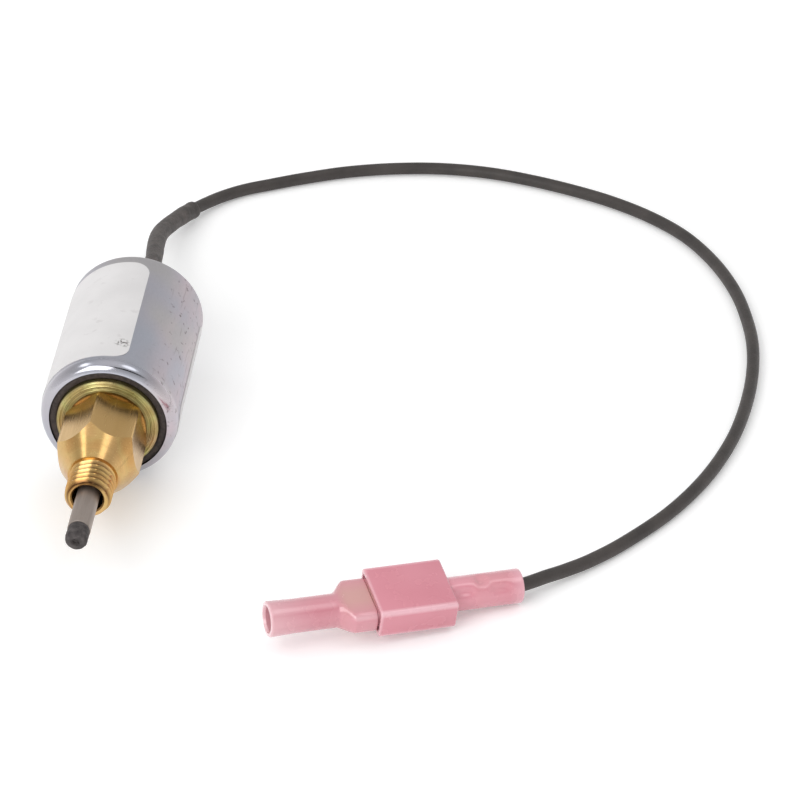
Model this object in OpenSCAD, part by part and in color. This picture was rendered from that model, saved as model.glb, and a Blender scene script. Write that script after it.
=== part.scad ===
/* [Can] */
// Outside diameter of the drawn steel can
can_d = 23.7; // [20:0.1:34]
// Length of the can from its rolled rim to its closed end
can_len = 36; // [30:0.5:60]
// Sheet thickness of the can
can_wall = 1.2; // [0.8:0.1:1.6]
// Outside radius of the rolled front rim
rim_r = 2; // [1.7:0.1:2.4]
// How far the rolled lip reaches in from the can's bore
lip_in = 0.45; // [0.2:0.05:0.6]
// Outside radius of the bend at the closed end
rear_r = 1.4; // [1.3:0.1:2.4]
// Diameter of the lead hole in the closed end
lead_hole_d = 6; // [5.4:0.1:8]

/* [Label] */
// Thickness of the paper label
label_t = 0.12; // [0.08:0.02:0.3]
// Bare strip between the rim and the label
label_front = 2.8; // [2.5:0.1:5]
// Bare strip between the label and the closed end
label_rear = 3; // [2.5:0.1:5]
// Angle from the top to where the label starts, clockwise seen from the nose
label_from = 12; // [-40:1:40]
// Angle from the top to where the label ends, clockwise seen from the nose
label_to = 88; // [60:1:120]
// Corner radius of the label
label_corner = 3; // [1:0.5:5]

/* [Front plate and seal] */
// Width of the seal's face between the can's lip and the plate's raised face
seal_w = 1.4; // [0.8:0.1:2]
// How far the raised face stands proud of the can's rim
plate_proud = 0.7; // [0.2:0.1:1.5]
// Thickness of the plate's flange
plate_flange_t = 2.4; // [1.5:0.1:4]
// Thickness of the seal between the lip and the flange
seal_t = 1.6; // [1:0.1:3]
// How far the seal's face lies behind the can's rim
seal_sunk = 0.25; // [0.1:0.05:0.6]

/* [Brass fitting] */
// Size of the hexagon across its flats
hex_af = 13; // [11:0.5:14]
// Turn of the hexagon about the can's axis
hex_turn = -7.6; // [-30:0.1:30]
// Length of the hexagon up to where the cone meets its corners
hex_len = 9.2; // [6:0.1:14]
// Length of the chamfer on the hexagon's back corners
hex_chamfer = 0.6; // [0.2:0.1:1]
// Diameter of the round collar behind the hexagon
collar_d = 13.7; // [12:0.1:14]
// Length of that collar
collar_len = 0.5; // [0.3:0.1:1]
// Half angle of the cone
cone_angle = 28; // [24:1:32]
// Diameter of the cone where it meets the threaded nose
cone_end_d = 8.6; // [8.3:0.1:9.5]
// Major diameter of the nose thread
nose_d = 8; // [7:0.1:8]
// Length of the threaded nose
nose_len = 6.2; // [4:0.1:10]
// Width of the relief between the cone and the thread
relief_w = 0.5; // [0.3:0.1:1]
// Depth of the relief
relief_deep = 0.35; // [0.2:0.05:0.6]
// Chamfer on the end of the nose
nose_chamfer = 0.6; // [0.3:0.1:0.8]
// Bore through the fitting
nose_bore_d = 5.3; // [4.8:0.1:5.6]
// Diameter of the shank that is staked into the plate
shank_d = 10; // [9.5:0.1:11]

/* [Coil] */
// Inside diameter of the guide tube
tube_bore_d = 8; // [7:0.1:9]
// Wall of the guide tube
tube_wall = 0.4; // [0.3:0.05:0.6]
// Wall of the bobbin's barrel
bobbin_wall = 0.8; // [0.6:0.1:1.2]
// Thickness of each bobbin flange
flange_t = 1.2; // [0.8:0.1:2]
// Free space between the taped winding and the can's bore
winding_room = 0.85; // [0.3:0.05:2]
// Thickness of the tape over the winding
wrap_t = 0.3; // [0.2:0.05:0.5]
// Thickness of the flux washer
flux_t = 2; // [1:0.1:3]
// Free depth behind the flux washer for the splice
splice_room = 5.8; // [5.6:0.1:10]
// Thickness of the winding's tail
tail_t = 0.5; // [0.3:0.1:0.8]

/* [Plunger] */
// Stroke of the plunger
stroke = 3.2; // [2:0.1:5]
// Length of the armature
armature_len = 12; // [8:0.5:16]
// Running clearance of the armature in the tube, on the radius
armature_play = 0.06; // [0.03:0.01:0.1]
// Diameter of the plunger pin
pin_d = 3.9; // [3:0.1:4.2]
// How far the pin and its tip stand out of the nose at rest
pin_out = 12.4; // [8:0.1:20]
// How deep the pin is pressed into the armature
pin_seat = 4; // [2:0.5:6]
// Length of the soft tip
tip_len = 3.5; // [2.5:0.1:6]
// Radius of the tip's rounded edge
tip_round = 1; // [0.5:0.1:1.4]
// Diameter of the spigot that holds the tip
tip_spigot_d = 2; // [1.5:0.1:2.4]
// Length of that spigot
tip_spigot_len = 1.8; // [1:0.1:2.3]
// Diameter of the pit in the tip's end
pit_d = 0.9; // [0.5:0.1:1.2]
// Depth of the pit
pit_deep = 0.5; // [0.3:0.1:1]
// Outside diameter of the return spring
spring_d = 4.4; // [3.5:0.1:5]
// Wire diameter of the return spring
spring_wire = 0.5; // [0.3:0.05:0.6]
// Number of turns of the return spring
spring_turns = 6; // [4:1:8]
// Depth of each spring pocket
spring_pocket = 3; // [2:0.1:4]
// Thickness of the shim on the fixed core
shim_t = 0.25; // [0.1:0.05:0.5]

/* [Lead] */
// Diameter of the lead over its insulation
lead_d = 2.3; // [2:0.1:2.6]
// Wall of the shrunk sleeve
sleeve_wall = 0.5; // [0.3:0.05:0.7]
// Width of the grommet's outside flange
grommet_d = 7.6; // [7:0.1:9]
// How far the grommet's flange stands out of the closed end
grommet_out = 1; // [0.6:0.1:2]
// Length of the splice inside the can
splice_len = 3.3; // [2:0.1:3.6]

/* [Connector] */
// Length of the box shroud
box_len = 12.9; // [12:0.1:16]
// Width of the box shroud
box_w = 10.9; // [10.4:0.1:13]
// Height of the box shroud
box_h = 5; // [4.9:0.1:7]
// Wall of the box shroud
box_wall = 0.5; // [0.4:0.05:0.6]
// Thickness of the shroud's end wall
box_end = 1; // [0.6:0.1:1.6]
// Outside diameter of both round barrels
barrel_d = 5.4; // [5.2:0.1:5.8]
// Inside diameter of both round barrels
barrel_bore_d = 4.2; // [4.1:0.05:4.4]
// Length of the male barrel up to the shroud
male_barrel_len = 13.3; // [11:0.1:18]
// How far the barrels' axis lies below the middle of the shroud
barrel_drop = 0.8; // [0:0.1:1.2]
// Height of the flat body
flat_h = 3.7; // [3.5:0.1:3.8]
// Width of the flat body
flat_w = 9.2; // [9:0.1:9.4]
// Corner radius of the flat body
flat_r = 1.2; // [0.6:0.1:1.6]
// Length of the flat body inside the shroud
mated_len = 9; // [7:0.1:11]
// Length of the flat body outside the shroud
flat_out = 4.2; // [3:0.1:6]
// Length of the flare between the flat body and its barrel
flare_len = 2.4; // [1.5:0.1:4]
// Length of the female barrel
female_barrel_len = 11.4; // [10:0.1:16]
// Width of the tab
tab_w = 6.3; // [5.5:0.1:6.4]
// Thickness of the tab
tab_t = 0.8; // [0.6:0.05:0.9]
// Length of the tab inside the shroud
tab_len = 8; // [6:0.1:9]
// Sheet thickness of the receptacle
socket_t = 0.4; // [0.3:0.05:0.45]
// Outside diameter of the crimp barrels
crimp_d = 3.4; // [3.2:0.1:3.4]
// Wall of the crimp barrels
crimp_wall = 0.45; // [0.3:0.05:0.5]
// Length of the crimp barrels
crimp_len = 6; // [4:0.5:7]
// Wall of the support sleeves
support_wall = 0.25; // [0.2:0.05:0.3]

/* [Hidden] */
$fn = 48;

// Clearance between turned or moulded pieces that fit in each other
fit = 0.03;
// Clearance between a soft or drawn piece and its neighbour
loose = 0.1;
// Reach of a cutting shape past the surface it cuts
cut = 0.5;

// Places along the can's axis, measured back from its rolled rim
can_inside = can_len - can_wall;
plate_front = -plate_proud;
flange_front = can_wall + seal_sunk + seal_t;
plate_back = flange_front + plate_flange_t;
bobbin_front = plate_back + loose;
flux_back = can_inside - splice_room;
flux_front = flux_back - flux_t;
bobbin_back = flux_front - loose;
winding_front = bobbin_front + flange_t;
winding_back = bobbin_back - flange_t;
core_head_t = 1;
splice_front = flux_back + core_head_t + 2 * loose;
armature_front = plate_back + fit;
armature_back = armature_front + armature_len;
shim_front = armature_back + stroke + fit;
core_front = shim_front + shim_t;
hex_corner_r = hex_af / 2 / cos(30);
cone_end_r = cone_end_d / 2;
hex_back = plate_front - collar_len;
cone_start = hex_back - hex_len;
nose_start = cone_start - (hex_corner_r - cone_end_r) / tan(cone_angle);
nose_end = nose_start - nose_len;
pin_end = nose_end - pin_out;
tip_start = pin_end + tip_len;

// Radii about the can's axis
can_r = can_d / 2;
bore_r = can_r - can_wall;
lip_r = bore_r - lip_in;
plate_r = bore_r - loose;
face_r = lip_r - seal_w;
shank_r = shank_d / 2;
thread_r = nose_d / 2;
tube_r = tube_bore_d / 2;
tube_out = tube_r + tube_wall;
spool_in = tube_out + fit;
spool_out = spool_in + bobbin_wall;
winding_r = bore_r - winding_room - wrap_t;
flange_r = bore_r - 2 * loose;
pin_r = pin_d / 2;
spring_r = spring_d / 2;
pocket_r = spring_r + loose;
lead_r = lead_d / 2;
sleeve_in = lead_r + 0.05;
sleeve_r = sleeve_in + sleeve_wall;
splice_r = sleeve_r + loose;
hole_r = lead_hole_d / 2;
tail_r = (spool_out + winding_r) / 2;

// The origin is under the middle of the can and fitting, on the surface they lie on
axis_z = can_r + label_t;
rim_y = -(pin_end + can_len + grommet_out) / 2;
rear_y = rim_y + can_len;

// Places along the connector, measured from the mouth of the male barrel
barrel_r = barrel_d / 2;
barrel_in = barrel_bore_d / 2;
box_inside = male_barrel_len + box_end;
box_mouth = male_barrel_len + box_len;
flat_front = box_mouth - mated_len;
flat_back = box_mouth + flat_out;
flare_back = flat_back + flare_len;
female_end = flare_back + female_barrel_len;
flat_wall = 0.5;
crimp_r = crimp_d / 2;
crimp_in = crimp_r - crimp_wall;
support_in = crimp_r + fit;
support_r = support_in + support_wall;
male_crimp = male_barrel_len - crimp_len - 1.6;
female_crimp = flare_back + 1.2;
tab_gap = 0.05;
socket_front = flat_front + 0.4;
socket_len = 7.4;
roll_r = 1;
roll_y = tab_w / 2 - 0.4;
neck_w = 3;

// Where the lead enters the male barrel, and how the connector lies
plug_at = [73.2, -28.8, barrel_r];
plug_lean = [8.8, 4.2, 23.1];

// The lead's route, by hand: out of the can, down to the surface and round to the connector
lead_z = lead_r;
ROUTE = [[0, splice_front + rim_y + 1, axis_z], [0, rear_y, axis_z], [0, 42, 11.8], [0, 49, 11],
         [-0.3, 56.5, 9.5], [-1.1, 64.5, 7.6], [-1.3, 71, 6], [-0.4, 76.5, 4.6], [1.2, 82, 3.3],
         [2.8, 86, 2.4], [4.9, 89.7, 1.8], [7.7, 93.2, 1.4], [11.5, 96.3, 1.2],
         [16.5, 98.9, lead_z], [22.5, 101.7, lead_z], [30.5, 104.8, lead_z],
         [39.5, 106.9, lead_z], [48.5, 107.7, lead_z], [57.5, 107, lead_z],
         [66, 104.9, lead_z], [74.5, 101.8, lead_z], [82.5, 98, lead_z], [90, 93, lead_z],
         [96.5, 86.8, lead_z], [101.6, 79.2, lead_z], [105.4, 71, lead_z],
         [108, 62.4, lead_z], [109.9, 51, lead_z], [110, 39, lead_z], [108.5, 26.7, lead_z],
         [106, 16.4, lead_z], [102, 6, lead_z], [96.4, -4, lead_z], [89.3, -13.2, 1.2],
         [84, -18.9, 1.4], [80, -22.6, 1.8], [76.8, -25.4, 2.3], [73.4, -28.3, 2.7],
         [70, -30.1, 2.95], [66.6, -31.6, 3.2]];
// The sleeve covers the route from its second point to this one
sleeve_last = 9;
// Rings drawn for each stretch of the route
ring_steps = 2;
cord_sides = 8;

// A point on the smooth curve through p[i] and p[i + 1], at the share t between them
function knot(p, i) = p[max(0, min(len(p) - 1, i))];
function between(p, i, t) =
    let (a = knot(p, i - 1), b = knot(p, i), c = knot(p, i + 1), d = knot(p, i + 2))
    0.5 * (2 * b + (c - a) * t + (2 * a - 5 * b + 4 * c - d) * t * t
           + (3 * b - a - 3 * c + d) * t * t * t);
function smooth(p, first, last) =
    [for (i = [first:last - 1]) for (k = [0:ring_steps - 1]) between(p, i, k / ring_steps), p[last]];
function unit(v) = v / norm(v);
function heading(p, i) = unit(knot(p, i + 1) - knot(p, i - 1));
// A ring of points round p[i], square to the path, with its first point sideways
function ring(p, i, r, sides) =
    let (along = heading(p, i), side = unit(cross(along, [0, 0, 1])), up = cross(side, along))
    [for (k = [0:sides - 1]) p[i] + r * (cos(360 * k / sides) * side + sin(360 * k / sides) * up)];

// A solid cord along the path p
module cord(p, r, sides) {
    n = len(p);
    points = [for (i = [0:n - 1]) each ring(p, i, r, sides)];
    walls = [for (i = [0:n - 2]) for (k = [0:sides - 1])
             let (m = (k + 1) % sides)
             [i * sides + k, i * sides + m, (i + 1) * sides + m, (i + 1) * sides + k]];
    start = [for (k = [sides - 1:-1:0]) k];
    end = [for (k = [0:sides - 1]) (n - 1) * sides + k];
    polyhedron(points, concat(walls, [start, end]), convexity = 8);
}

// Puts a piece that is drawn along +Z on the can's axis, with +Z pointing to the closed end
module on_can() {
    translate([0, rim_y, axis_z]) rotate([-90, 0, 0]) children();
}

// Puts a piece that is drawn along +Z on the connector's axis, with +X pointing up
module on_connector() {
    translate(plug_at) rotate(plug_lean) rotate([0, -90, 0]) children();
}

// A ring or sleeve between two places
module tube(r_out, r_in, from, to) {
    translate([0, 0, from]) difference() {
        cylinder(r = r_out, h = to - from);
        translate([0, 0, -cut]) cylinder(r = r_in, h = to - from + 2 * cut);
    }
}

// Half section of a rod with round edges, front_r at its front and back_r at its back
module rod_section(r, len, front_r, back_r) {
    translate([0, front_r]) square([r, len - front_r - back_r]);
    square([r - front_r, len / 2]);
    translate([0, len / 2]) square([r - back_r, len / 2]);
    translate([r - front_r, front_r]) circle(front_r);
    translate([r - back_r, len - back_r]) circle(back_r);
}

// A rectangle with round corners, h along X and w along Y
module slot_section(h, w, r) {
    square([h - 2 * r, w], center = true);
    square([h, w - 2 * r], center = true);
    for (x = [-1, 1]) for (y = [-1, 1])
        translate([x * (h / 2 - r), y * (w / 2 - r)]) circle(r);
}

module can() {
    color("#a6a7b2") on_can() difference() {
        rotate_extrude() rod_section(can_r, can_len, rim_r, rear_r);
        translate([0, 0, can_wall])
            rotate_extrude() rod_section(bore_r, can_inside - can_wall, rim_r - can_wall,
                                         rear_r - can_wall + 0.05);
        translate([0, 0, -cut]) cylinder(r = lip_r, h = can_wall + 2 * cut);
        translate([0, 0, can_inside - cut]) cylinder(r = hole_r, h = can_wall + 2 * cut);
    }
}

// Cuts one corner of the label round, at an angle and a place along the can
module label_corner_cut(angle, place, side, end) {
    rotate([0, 0, angle]) translate([0, 0, place]) rotate([0, 90, 0])
        translate([0, 0, can_r - cut]) linear_extrude(label_t + 2 * cut) difference() {
            translate([end > 0 ? -cut : -label_corner, side > 0 ? -cut : -label_corner])
                square(label_corner + cut);
            translate([-end * -label_corner, side * label_corner]) circle(label_corner);
        }
}

module label() {
    span = 360 - (label_to - label_from);
    back = can_len - label_rear;
    color("#e2ddda") on_can() difference() {
        rotate([0, 0, label_to - 90]) rotate_extrude(angle = span)
            translate([can_r, label_front]) square([label_t, back - label_front]);
        label_corner_cut(label_to - 90, label_front, 1, -1);
        label_corner_cut(label_to - 90, back, 1, 1);
        label_corner_cut(label_from - 90, label_front, -1, -1);
        label_corner_cut(label_from - 90, back, -1, 1);
    }
}

module seal_ring() {
    color("#2d2727") on_can() {
        tube(lip_r - fit, face_r + fit, seal_sunk, rim_r + fit);
        tube(plate_r, face_r + fit, rim_r + fit, flange_front);
    }
}

module pole_plate() {
    edge = 0.25;
    color("#9c9440") on_can() difference() {
        rotate_extrude() polygon([[0, plate_front], [face_r - edge, plate_front],
                                  [face_r, plate_front + edge], [face_r, flange_front],
                                  [plate_r, flange_front], [plate_r, plate_back],
                                  [0, plate_back]]);
        translate([0, 0, plate_front - cut])
            cylinder(r = shank_r + fit, h = plate_back - plate_front + 2 * cut);
    }
}

module brass_fitting() {
    chamfer_in = 0.9;
    relief_end = nose_start - relief_w;
    wide = hex_corner_r + 1;
    color("#c8a569") on_can() difference() {
        union() {
            intersection() {
                translate([0, 0, nose_start - cut]) rotate([0, 0, hex_turn - 90])
                    cylinder(r = hex_corner_r, h = hex_back - nose_start + 2 * cut, $fn = 6);
                rotate_extrude() polygon([[0, nose_start], [cone_end_r, nose_start],
                                          [wide, cone_start + 1 / tan(cone_angle)],
                                          [wide, hex_back - hex_chamfer * (1 + 1 / chamfer_in)],
                                          [hex_corner_r - chamfer_in, hex_back],
                                          [0, hex_back]]);
            }
            translate([0, 0, hex_back]) cylinder(d = collar_d, h = collar_len);
            translate([0, 0, plate_front - cut])
                cylinder(r = shank_r, h = plate_back - plate_front + cut);
            translate([0, 0, nose_end]) rotate_extrude()
                polygon([[0, 0], [thread_r - nose_chamfer, 0], [thread_r, nose_chamfer],
                         [thread_r, relief_end - nose_end],
                         [thread_r - relief_deep, relief_end - nose_end + relief_deep / 2],
                         [thread_r - relief_deep, nose_len + cut], [0, nose_len + cut]]);
        }
        translate([0, 0, nose_end - cut])
            cylinder(d = nose_bore_d, h = plate_back - nose_end + 2 * cut);
    }
}

module guide_tube() {
    color("#b9a77c") on_can() tube(tube_out, tube_r, plate_back, flux_back);
}

module bobbin() {
    color("#d9d4c4") on_can() difference() {
        union() {
            tube(spool_out, spool_in, bobbin_front, bobbin_back);
            tube(flange_r, spool_in, bobbin_front, winding_front);
            tube(flange_r, spool_in, winding_back, bobbin_back);
        }
        translate([-tail_t, -flange_r - cut, winding_back - cut])
            cube([2 * tail_t, flange_r + cut - tail_r + tail_t, flange_t + 2 * cut]);
    }
}

// The winding, with its tail led back through the flanges and in to the splice
module coil_winding() {
    tail_back = splice_front + splice_len / 2;
    color("#b0602f") on_can() {
        tube(winding_r, spool_out + fit, winding_front + fit, winding_back - fit);
        translate([-tail_t / 2, -tail_r - tail_t / 2, winding_back - 2 * fit])
            cube([tail_t, tail_t, tail_back - winding_back + 2 * fit]);
        translate([-tail_t / 2, -tail_r - tail_t / 2, tail_back - tail_t])
            cube([tail_t, tail_r + tail_t / 2 - splice_r - fit, tail_t]);
    }
}

module coil_wrap() {
    color("#c9b24a") on_can()
        tube(winding_r + fit + wrap_t, winding_r + fit, winding_front + fit, winding_back - fit);
}

module rear_core() {
    color("#8b8d90") on_can() difference() {
        union() {
            translate([0, 0, core_front]) cylinder(r = tube_r - fit, h = flux_back - core_front);
            translate([0, 0, flux_back]) cylinder(r = tube_out + 1, h = core_head_t);
        }
        translate([0, 0, core_front - cut]) cylinder(r = pocket_r, h = spring_pocket + cut);
    }
}

module flux_washer() {
    color("#7f8286") on_can() difference() {
        tube(plate_r, tube_out + fit, flux_front, flux_back);
        translate([-tail_t, -plate_r - cut, flux_front - cut])
            cube([2 * tail_t, plate_r + cut - tail_r + tail_t, flux_t + 2 * cut]);
    }
}

module core_shim() {
    color("#c8a569") on_can() tube(tube_r - 2 * fit, pocket_r, shim_front, core_front);
}

module grommet() {
    inside_flange = 0.8;
    color("#262423") on_can() {
        tube(grommet_d / 2, sleeve_r + fit, can_len, can_len + grommet_out);
        tube(hole_r - fit, sleeve_r + fit, can_inside - inside_flange, can_len);
        tube(grommet_d / 2, sleeve_r + fit, can_inside - inside_flange, can_inside);
    }
}

module lead_splice() {
    color("#b7b4ac") on_can()
        tube(splice_r, lead_r + 0.05, splice_front, splice_front + splice_len);
}

module armature() {
    edge = 0.3;
    r = tube_r - armature_play;
    color("#8d8f92") on_can() difference() {
        translate([0, 0, armature_front]) rotate_extrude()
            polygon([[0, 0], [r - edge, 0], [r, edge], [r, armature_len - edge],
                     [r - edge, armature_len], [0, armature_len]]);
        translate([0, 0, armature_front - cut]) cylinder(r = pin_r + 0.01, h = pin_seat + cut);
        translate([0, 0, armature_back - spring_pocket])
            cylinder(r = pocket_r, h = spring_pocket + cut);
    }
}

module plunger_pin() {
    color("#918278") on_can() {
        translate([0, 0, tip_start]) cylinder(r = pin_r, h = armature_front + pin_seat - tip_start);
        translate([0, 0, tip_start - tip_spigot_len])
            cylinder(d = tip_spigot_d, h = tip_spigot_len + cut);
    }
}

module pin_tip() {
    color("#555050") on_can() difference() {
        translate([0, 0, pin_end]) rotate_extrude() {
            translate([0, tip_round]) square([pin_r, tip_len - tip_round]);
            square([pin_r - tip_round, tip_len]);
            translate([pin_r - tip_round, tip_round]) intersection() {
                circle(tip_round);
                translate([0, -tip_round]) square(tip_round);
            }
        }
        translate([0, 0, tip_start - tip_spigot_len])
            cylinder(d = tip_spigot_d + 0.02, h = tip_spigot_len + cut);
        translate([0, 0, pin_end - cut]) cylinder(d = pit_d, h = cut + pit_deep);
    }
}

// The spring's wire winds from the armature's pocket to the fixed core's pocket
module return_spring() {
    steps = 14;
    wire_r = spring_wire / 2;
    low = armature_back - spring_pocket + wire_r + fit;
    high = core_front + spring_pocket - wire_r - fit;
    n = spring_turns * steps;
    turn_r = spring_r - wire_r;
    path = [for (i = [0:n]) let (a = 360 * i / steps)
            [turn_r * cos(a), turn_r * sin(a), low + (high - low) * i / n]];
    color("#9a9da0") on_can() cord(path, wire_r, 6);
}

module lead_wire() {
    path = smooth(ROUTE, 0, len(ROUTE) - 1);
    color("#3b3634") cord(path, lead_r, cord_sides);
}

module lead_sleeve() {
    whole = smooth(ROUTE, 0, len(ROUTE) - 1);
    first = ring_steps;
    last = sleeve_last * ring_steps;
    sides = cord_sides;
    outer = [for (i = [first:last]) each ring(whole, i, sleeve_r, sides)];
    inner = [for (i = [first:last]) each ring(whole, i, sleeve_in, sides)];
    n = last - first + 1;
    far = n * sides;
    wall = [for (i = [0:n - 2]) for (k = [0:sides - 1])
            let (m = (k + 1) % sides)
            [i * sides + k, i * sides + m, (i + 1) * sides + m, (i + 1) * sides + k]];
    bore = [for (f = wall) [far + f[3], far + f[2], far + f[1], far + f[0]]];
    near_end = [for (k = [0:sides - 1]) let (m = (k + 1) % sides) [k, far + k, far + m, m]];
    e = (n - 1) * sides;
    far_end = [for (k = [0:sides - 1]) let (m = (k + 1) % sides)
               [e + k, e + m, far + e + m, far + e + k]];
    color("#4a4443") polyhedron(concat(outer, inner), concat(wall, bore, near_end, far_end),
                                convexity = 8);
}

module male_housing() {
    in_h = box_h - 2 * box_wall;
    in_w = box_w - 2 * box_wall;
    in_r = 0.3;
    color("#dd8896") on_connector() difference() {
        union() {
            cylinder(r = barrel_r, h = male_barrel_len + box_end / 2);
            translate([barrel_drop, 0, male_barrel_len])
                linear_extrude(box_len) slot_section(box_h, box_w, box_wall);
        }
        translate([0, 0, -cut]) cylinder(r = barrel_in, h = male_barrel_len + cut);
        intersection() {
            cylinder(r = barrel_in, h = box_inside + cut);
            translate([barrel_drop, 0, male_barrel_len - cut])
                linear_extrude(box_end + 2 * cut) slot_section(in_h, in_w, in_r);
        }
        translate([barrel_drop, 0, box_inside])
            linear_extrude(box_len) slot_section(in_h, in_w, in_r);
    }
}

// A crimp barrel, with a neck from its wall to the contact and a bore that is clear of the neck
module crimp(from, neck_to, neck_x, thickness) {
    root = 1.5;
    clear = 0.4;
    neck_from = neck_to > from ? from + crimp_len - root : neck_to;
    neck_end = neck_to > from ? neck_to : from + root;
    difference() {
        union() {
            translate([0, 0, from]) cylinder(r = crimp_r, h = crimp_len);
            translate([neck_x, -neck_w / 2, neck_from])
                cube([thickness, neck_w, neck_end - neck_from]);
        }
        translate([0, 0, from - clear]) cylinder(r = crimp_in, h = crimp_len + 2 * clear);
    }
}

module male_terminal() {
    tab_x = barrel_drop - tab_t / 2;
    root = box_inside + fit;
    color("#c9bfa8") on_connector() {
        crimp(male_crimp, root + cut, tab_x, tab_t);
        difference() {
            translate([tab_x, 0, root]) rotate([0, 90, 0]) linear_extrude(tab_t)
                polygon([[0, -tab_w / 2], [1 - tab_len, -tab_w / 2], [-tab_len, 1 - tab_w / 2],
                         [-tab_len, tab_w / 2 - 1], [1 - tab_len, tab_w / 2], [0, tab_w / 2]]);
            translate([tab_x - cut, 0, root + tab_len * 0.6]) rotate([0, 90, 0])
                cylinder(d = 1.7, h = tab_t + 2 * cut);
        }
    }
}

module male_support() {
    color("#b9733f") on_connector()
        tube(support_r, support_in, male_crimp - 0.5, male_crimp + crimp_len - 1.6);
}

// The flare from the flat body's section to the round barrel, a little inside both
module flare(h, w, r, round_r) {
    seam = 0.03;
    slice = 0.3;
    hull() {
        translate([barrel_drop, 0, flat_back - slice]) linear_extrude(slice)
            slot_section(h - 2 * seam, w - 2 * seam, r, $fn = 24);
        translate([0, 0, flare_back]) cylinder(r = round_r - seam, h = slice, $fn = 32);
    }
}

module female_housing() {
    in_h = flat_h - 2 * flat_wall;
    in_w = flat_w - 2 * flat_wall;
    in_r = flat_r - flat_wall;
    color("#e0a3a8") on_connector() difference() {
        union() {
            translate([barrel_drop, 0, flat_front])
                linear_extrude(flat_back - flat_front) slot_section(flat_h, flat_w, flat_r);
            flare(flat_h, flat_w, flat_r, barrel_r);
            translate([0, 0, flare_back]) cylinder(r = barrel_r, h = female_barrel_len);
        }
        translate([barrel_drop, 0, flat_front - cut])
            linear_extrude(flat_back - flat_front + cut) slot_section(in_h, in_w, in_r);
        flare(in_h, in_w, in_r, barrel_in);
        translate([0, 0, flare_back]) cylinder(r = barrel_in, h = female_barrel_len + cut);
    }
}

// The receptacle's floor with a roll along each side, open where the tab slides in
module socket_section() {
    floor_x = barrel_drop - tab_t / 2 - tab_gap - socket_t;
    difference() {
        union() {
            translate([floor_x, -roll_y]) square([socket_t, 2 * roll_y]);
            for (side = [-1, 1]) translate([floor_x + roll_r, side * roll_y]) difference() {
                circle(roll_r);
                circle(roll_r - socket_t);
            }
        }
        translate([floor_x + socket_t, -tab_w / 2 - tab_gap])
            square([tab_t + 2 * tab_gap, tab_w + 2 * tab_gap]);
    }
}

module female_terminal() {
    floor_x = barrel_drop - tab_t / 2 - tab_gap - socket_t;
    color("#c9bfa8") on_connector() {
        translate([0, 0, socket_front]) linear_extrude(socket_len) socket_section();
        crimp(female_crimp, socket_front + socket_len - cut, floor_x, socket_t);
    }
}

module female_support() {
    color("#b9733f") on_connector()
        tube(support_r, support_in, female_crimp + 1.6, female_crimp + crimp_len + 0.5);
}

can();
label();
seal_ring();
pole_plate();
brass_fitting();
guide_tube();
bobbin();
coil_winding();
coil_wrap();
rear_core();
flux_washer();
core_shim();
grommet();
lead_splice();
armature();
plunger_pin();
pin_tip();
return_spring();
lead_wire();
lead_sleeve();
male_housing();
male_terminal();
male_support();
female_housing();
female_terminal();
female_support();
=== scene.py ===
import math
import bmesh
import bpy
from mathutils import Euler, Matrix, Vector, noise


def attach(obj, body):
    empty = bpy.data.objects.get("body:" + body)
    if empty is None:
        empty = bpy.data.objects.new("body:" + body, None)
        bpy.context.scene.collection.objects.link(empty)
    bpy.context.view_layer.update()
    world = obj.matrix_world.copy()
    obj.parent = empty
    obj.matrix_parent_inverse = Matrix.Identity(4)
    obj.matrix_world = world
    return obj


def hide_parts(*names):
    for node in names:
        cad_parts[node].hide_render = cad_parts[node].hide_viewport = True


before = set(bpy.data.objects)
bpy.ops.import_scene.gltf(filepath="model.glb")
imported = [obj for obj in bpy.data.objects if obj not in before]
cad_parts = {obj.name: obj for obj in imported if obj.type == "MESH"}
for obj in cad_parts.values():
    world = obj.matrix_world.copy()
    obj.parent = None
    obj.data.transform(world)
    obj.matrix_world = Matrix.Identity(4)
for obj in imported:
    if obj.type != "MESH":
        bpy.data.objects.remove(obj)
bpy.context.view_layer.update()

# The camera, at the photograph's angle: it looks down on the part, from in front of its nose.
# It stands far off behind a long lens, so the part is drawn with little perspective.
camera_data = bpy.data.cameras.new("camera")
camera_data.lens = 176.18
camera_data.clip_start = 0.05
camera = bpy.data.objects.new("camera", camera_data)
camera.location = (0.0995, -0.5488, 0.3896)
camera.rotation_euler = (math.radians(56.08), 0, math.radians(5.134))
bpy.context.scene.collection.objects.link(camera)
bpy.context.scene.camera = camera

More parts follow.
